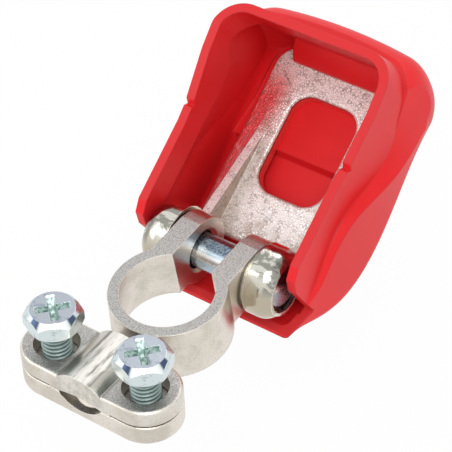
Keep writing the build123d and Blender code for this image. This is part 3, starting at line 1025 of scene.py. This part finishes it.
    def build(self, finish: bpy.types.Material) -> bpy.types.Object:
        """Make the screw in its place and hang it on its body.

        Args:
            finish: its material.

        Returns:
            The finished piece.
        """
        whole = self.thread()
        whole.from_mesh(self.head())
        bmesh.ops.transform(whole, matrix=Matrix.Scale(MM, 4) @ self.placed, verts=whole.verts[:])
        piece = as_object(whole, self.name)
        piece.data.materials.clear()
        piece.data.materials.append(finish)
        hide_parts(f"screw_{self.side.word}")
        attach(piece, f"{self.side.word}_screw")
        log.info("%s: %d faces", piece.name, len(piece.data.polygons))
        return piece


def as_object(mesh: bmesh.types.BMesh, name: str) -> bpy.types.Object:
    """Turn a bmesh into an object in the scene.

    Args:
        mesh: the bmesh, which is freed.
        name: name of the object and its mesh.

    Returns:
        The object, at the origin.
    """
    data = bpy.data.meshes.new(name)
    mesh.to_mesh(data)
    mesh.free()
    thing = bpy.data.objects.new(name, data)
    bpy.context.scene.collection.objects.link(thing)
    return thing


def applied(thing: bpy.types.Object) -> bpy.types.Mesh:
    """Apply the modifiers of an object.

    Args:
        thing: the object, which stays as it is.

    Returns:
        Its mesh with the modifiers applied.
    """
    bpy.context.view_layer.update()
    settled = thing.evaluated_get(bpy.context.evaluated_depsgraph_get())
    return bpy.data.meshes.new_from_object(settled)


def dress(node: bpy.types.Object, finish: bpy.types.Material) -> None:
    """Give a solid its finish.

    Args:
        node: the solid.
        finish: the material for its slots.
    """
    for slot in node.material_slots:
        slot.material = finish
    log.info("%s: %s", node.name, finish.name)


@dataclass
class Castings:
    """The terminal body and the saddle."""

    nodes: dict

    def build(self) -> None:
        """Dress both castings."""
        dress(self.nodes["terminal_body"], CastTin("tin_cast_body").build())
        dress(self.nodes["saddle"], CastTin("tin_cast_saddle", side=(0.76, 0.72, 0.65), brushed=0.8).build())


@dataclass
class ClampScrews:
    """The pair of screws that press the saddle on the cable."""

    facet_left: float = radians(-50)
    facet_right: float = radians(-46)

    def build(self) -> None:
        """Make both screws."""
        for side, facet in ((Side.LEFT, self.facet_left), (Side.RIGHT, self.facet_right)):
            screw = ClampScrew(side, facet=facet)
            screw.build(ZincScrew(
                f"zinc_{side.word}", screw.seat, CLAMP_TURN, screw.head_under,
                screw.head_under + screw.head_height, screw.crown_radius, screw.arm_length / 2 + 0.1,
                screw.thread_radius, facet).build())


@dataclass
class Lever:
    """The lever casting with its hubs, and the pin that it turns on."""

    nodes: dict

    def build(self) -> None:
        """Dress the lever and the pin."""
        dress(self.nodes["lever"], BrightCast("bright_cast_lever").build())
        dress(self.nodes["hinge_pin"], GroundPin("ground_pin").build())


@dataclass
class Hood:
    """The moulded hood over the lever."""

    nodes: dict

    def build(self) -> None:
        """Dress the hood."""
        dress(self.nodes["cover"], MouldedRed("moulded_red").build())


@dataclass(frozen=True)
class Lamp:
    """A soft lamp: its place, width and height in millimetres, power in watts and colour."""

    name: str
    at: tuple[float, float, float]
    size: Span
    watts: float
    colour: Colour

    def build(self, aim: Vector) -> None:
        """Hang the lamp up.

        Args:
            aim: the point that it faces, in millimetres.
        """
        data = bpy.data.lights.new(self.name, "AREA")
        data.shape = "RECTANGLE"
        data.size, data.size_y = self.size[0] * MM, self.size[1] * MM
        data.energy = self.watts
        data.color = self.colour
        thing = bpy.data.objects.new(self.name, data)
        bpy.context.scene.collection.objects.link(thing)
        back = Vector(self.at) - aim
        turned = back.to_track_quat("Z", "Y").to_matrix().to_4x4()
        thing.matrix_world = Matrix.Translation(Vector(self.at) * MM) @ turned


@dataclass
class Studio:
    """White floor, soft lamps and the camera."""

    azimuth: float = 39.698
    elevation: float = 45.715
    roll: float = -6.775
    aim_height: float = 11.7
    distance: float = 400.655
    shift_right: float = 11.21
    shift_up: float = 12.291
    focal_px: float = 2098.131
    frame_px: float = 452.0
    sensor_width: float = 36.0
    clip_metres: Span = (0.01, 20.0)
    floor_z: float = -45.0
    floor_size: float = 3000.0
    floor_colour: Colour = (0.86, 0.86, 0.86)
    floor_glow: float = 0.94
    sky_glow: float = 0.78
    lamp_aim: tuple[float, float, float] = (0.0, 15.0, 5.0)
    lamps: tuple[Lamp, ...] = (
        Lamp("key", (165, -210, 415), (260, 260), 0.9, (1.0, 0.99, 0.97)),
        Lamp("fill", (-320, -220, 260), (240, 320), 0.4, (0.97, 0.98, 1.0)),
        Lamp("rim", (-60, 380, 330), (300, 160), 0.3, (1.0, 1.0, 1.0)))

    def view_axes(self) -> tuple[Vector, Vector, Vector]:
        """Right, up and backward directions of the camera."""
        turn, tip, roll = radians(self.azimuth), radians(self.elevation), radians(self.roll)
        back = Vector((sin(turn) * cos(tip), -cos(turn) * cos(tip), sin(tip)))
        level = Vector((cos(turn), sin(turn), 0.0))
        upright = back.cross(level)
        return cos(roll) * level + sin(roll) * upright, cos(roll) * upright - sin(roll) * level, back

    def camera(self) -> None:
        """Stand the camera."""
        right, up, back = self.view_axes()
        at = back * self.distance + right * self.shift_right + up * self.shift_up
        at.z += self.aim_height
        data = bpy.data.cameras.new("camera")
        data.sensor_width = self.sensor_width
        data.lens = self.focal_px * self.sensor_width / self.frame_px
        data.clip_start, data.clip_end = self.clip_metres
        thing = bpy.data.objects.new("camera", data)
        bpy.context.scene.collection.objects.link(thing)
        turned = Matrix((right, up, back)).transposed().to_4x4()
        thing.matrix_world = Matrix.Translation(at * MM) @ turned
        bpy.context.scene.camera = thing

    def floor(self) -> None:
        """Lay the white floor."""
        mesh = bmesh.new()
        bmesh.ops.create_grid(mesh, x_segments=1, y_segments=1, size=self.floor_size * MM / 2)
        bmesh.ops.translate(mesh, verts=mesh.verts[:], vec=(0, 0, self.floor_z * MM))
        thing = as_object(mesh, "floor")
        sheet = FinishSheet("white_floor")
        matt = sheet.node("ShaderNodeBsdfDiffuse", {}, {"Color": (*self.floor_colour, 1.0)})
        glow = sheet.node("ShaderNodeEmission", {}, {"Color": (1.0, 1.0, 1.0, 1.0), "Strength": 1.0})
        both = sheet.node("ShaderNodeMixShader", {},
                          {0: sheet.shown() * self.floor_glow, 1: matt.outputs[0], 2: glow.outputs[0]})
        sheet.node("ShaderNodeOutputMaterial", {}, {"Surface": both.outputs[0]})
        thing.data.materials.append(sheet.material)

    def sky(self) -> None:
        """Even pale surroundings, white to the camera."""
        world = bpy.data.worlds.new("surroundings")
        world.use_nodes = True
        sheet = NodeSheet(world.node_tree)
        white = {"Color": (1.0, 1.0, 1.0, 1.0)}
        glow = sheet.node("ShaderNodeBackground", {}, {**white, "Strength": self.sky_glow})
        backdrop = sheet.node("ShaderNodeBackground", {}, {**white, "Strength": 1.0})
        both = sheet.node("ShaderNodeMixShader", {},
                          {0: sheet.shown(), 1: glow.outputs[0], 2: backdrop.outputs[0]})
        sheet.node("ShaderNodeOutputWorld", {}, {"Surface": both.outputs[0]})
        bpy.context.scene.world = world

    def build(self) -> None:
        """Set the whole studio."""
        self.camera()
        self.floor()
        self.sky()
        for lamp in self.lamps:
            lamp.build(Vector(self.lamp_aim))
        view = bpy.context.scene.view_settings
        view.view_transform = "Standard"
        log.info("studio: camera lens %.1f mm", bpy.context.scene.camera.data.lens)


def main() -> None:
    """Load the solids, dress them and light them."""
    logging.basicConfig(level=logging.INFO, format="%(name)s %(message)s")
    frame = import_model()
    Studio().build()
    Castings(frame["nodes"]).build()
    ClampScrews().build()
    Lever(frame["nodes"]).build()
    Hood(frame["nodes"]).build()


if __name__ == "__main__":
    main()
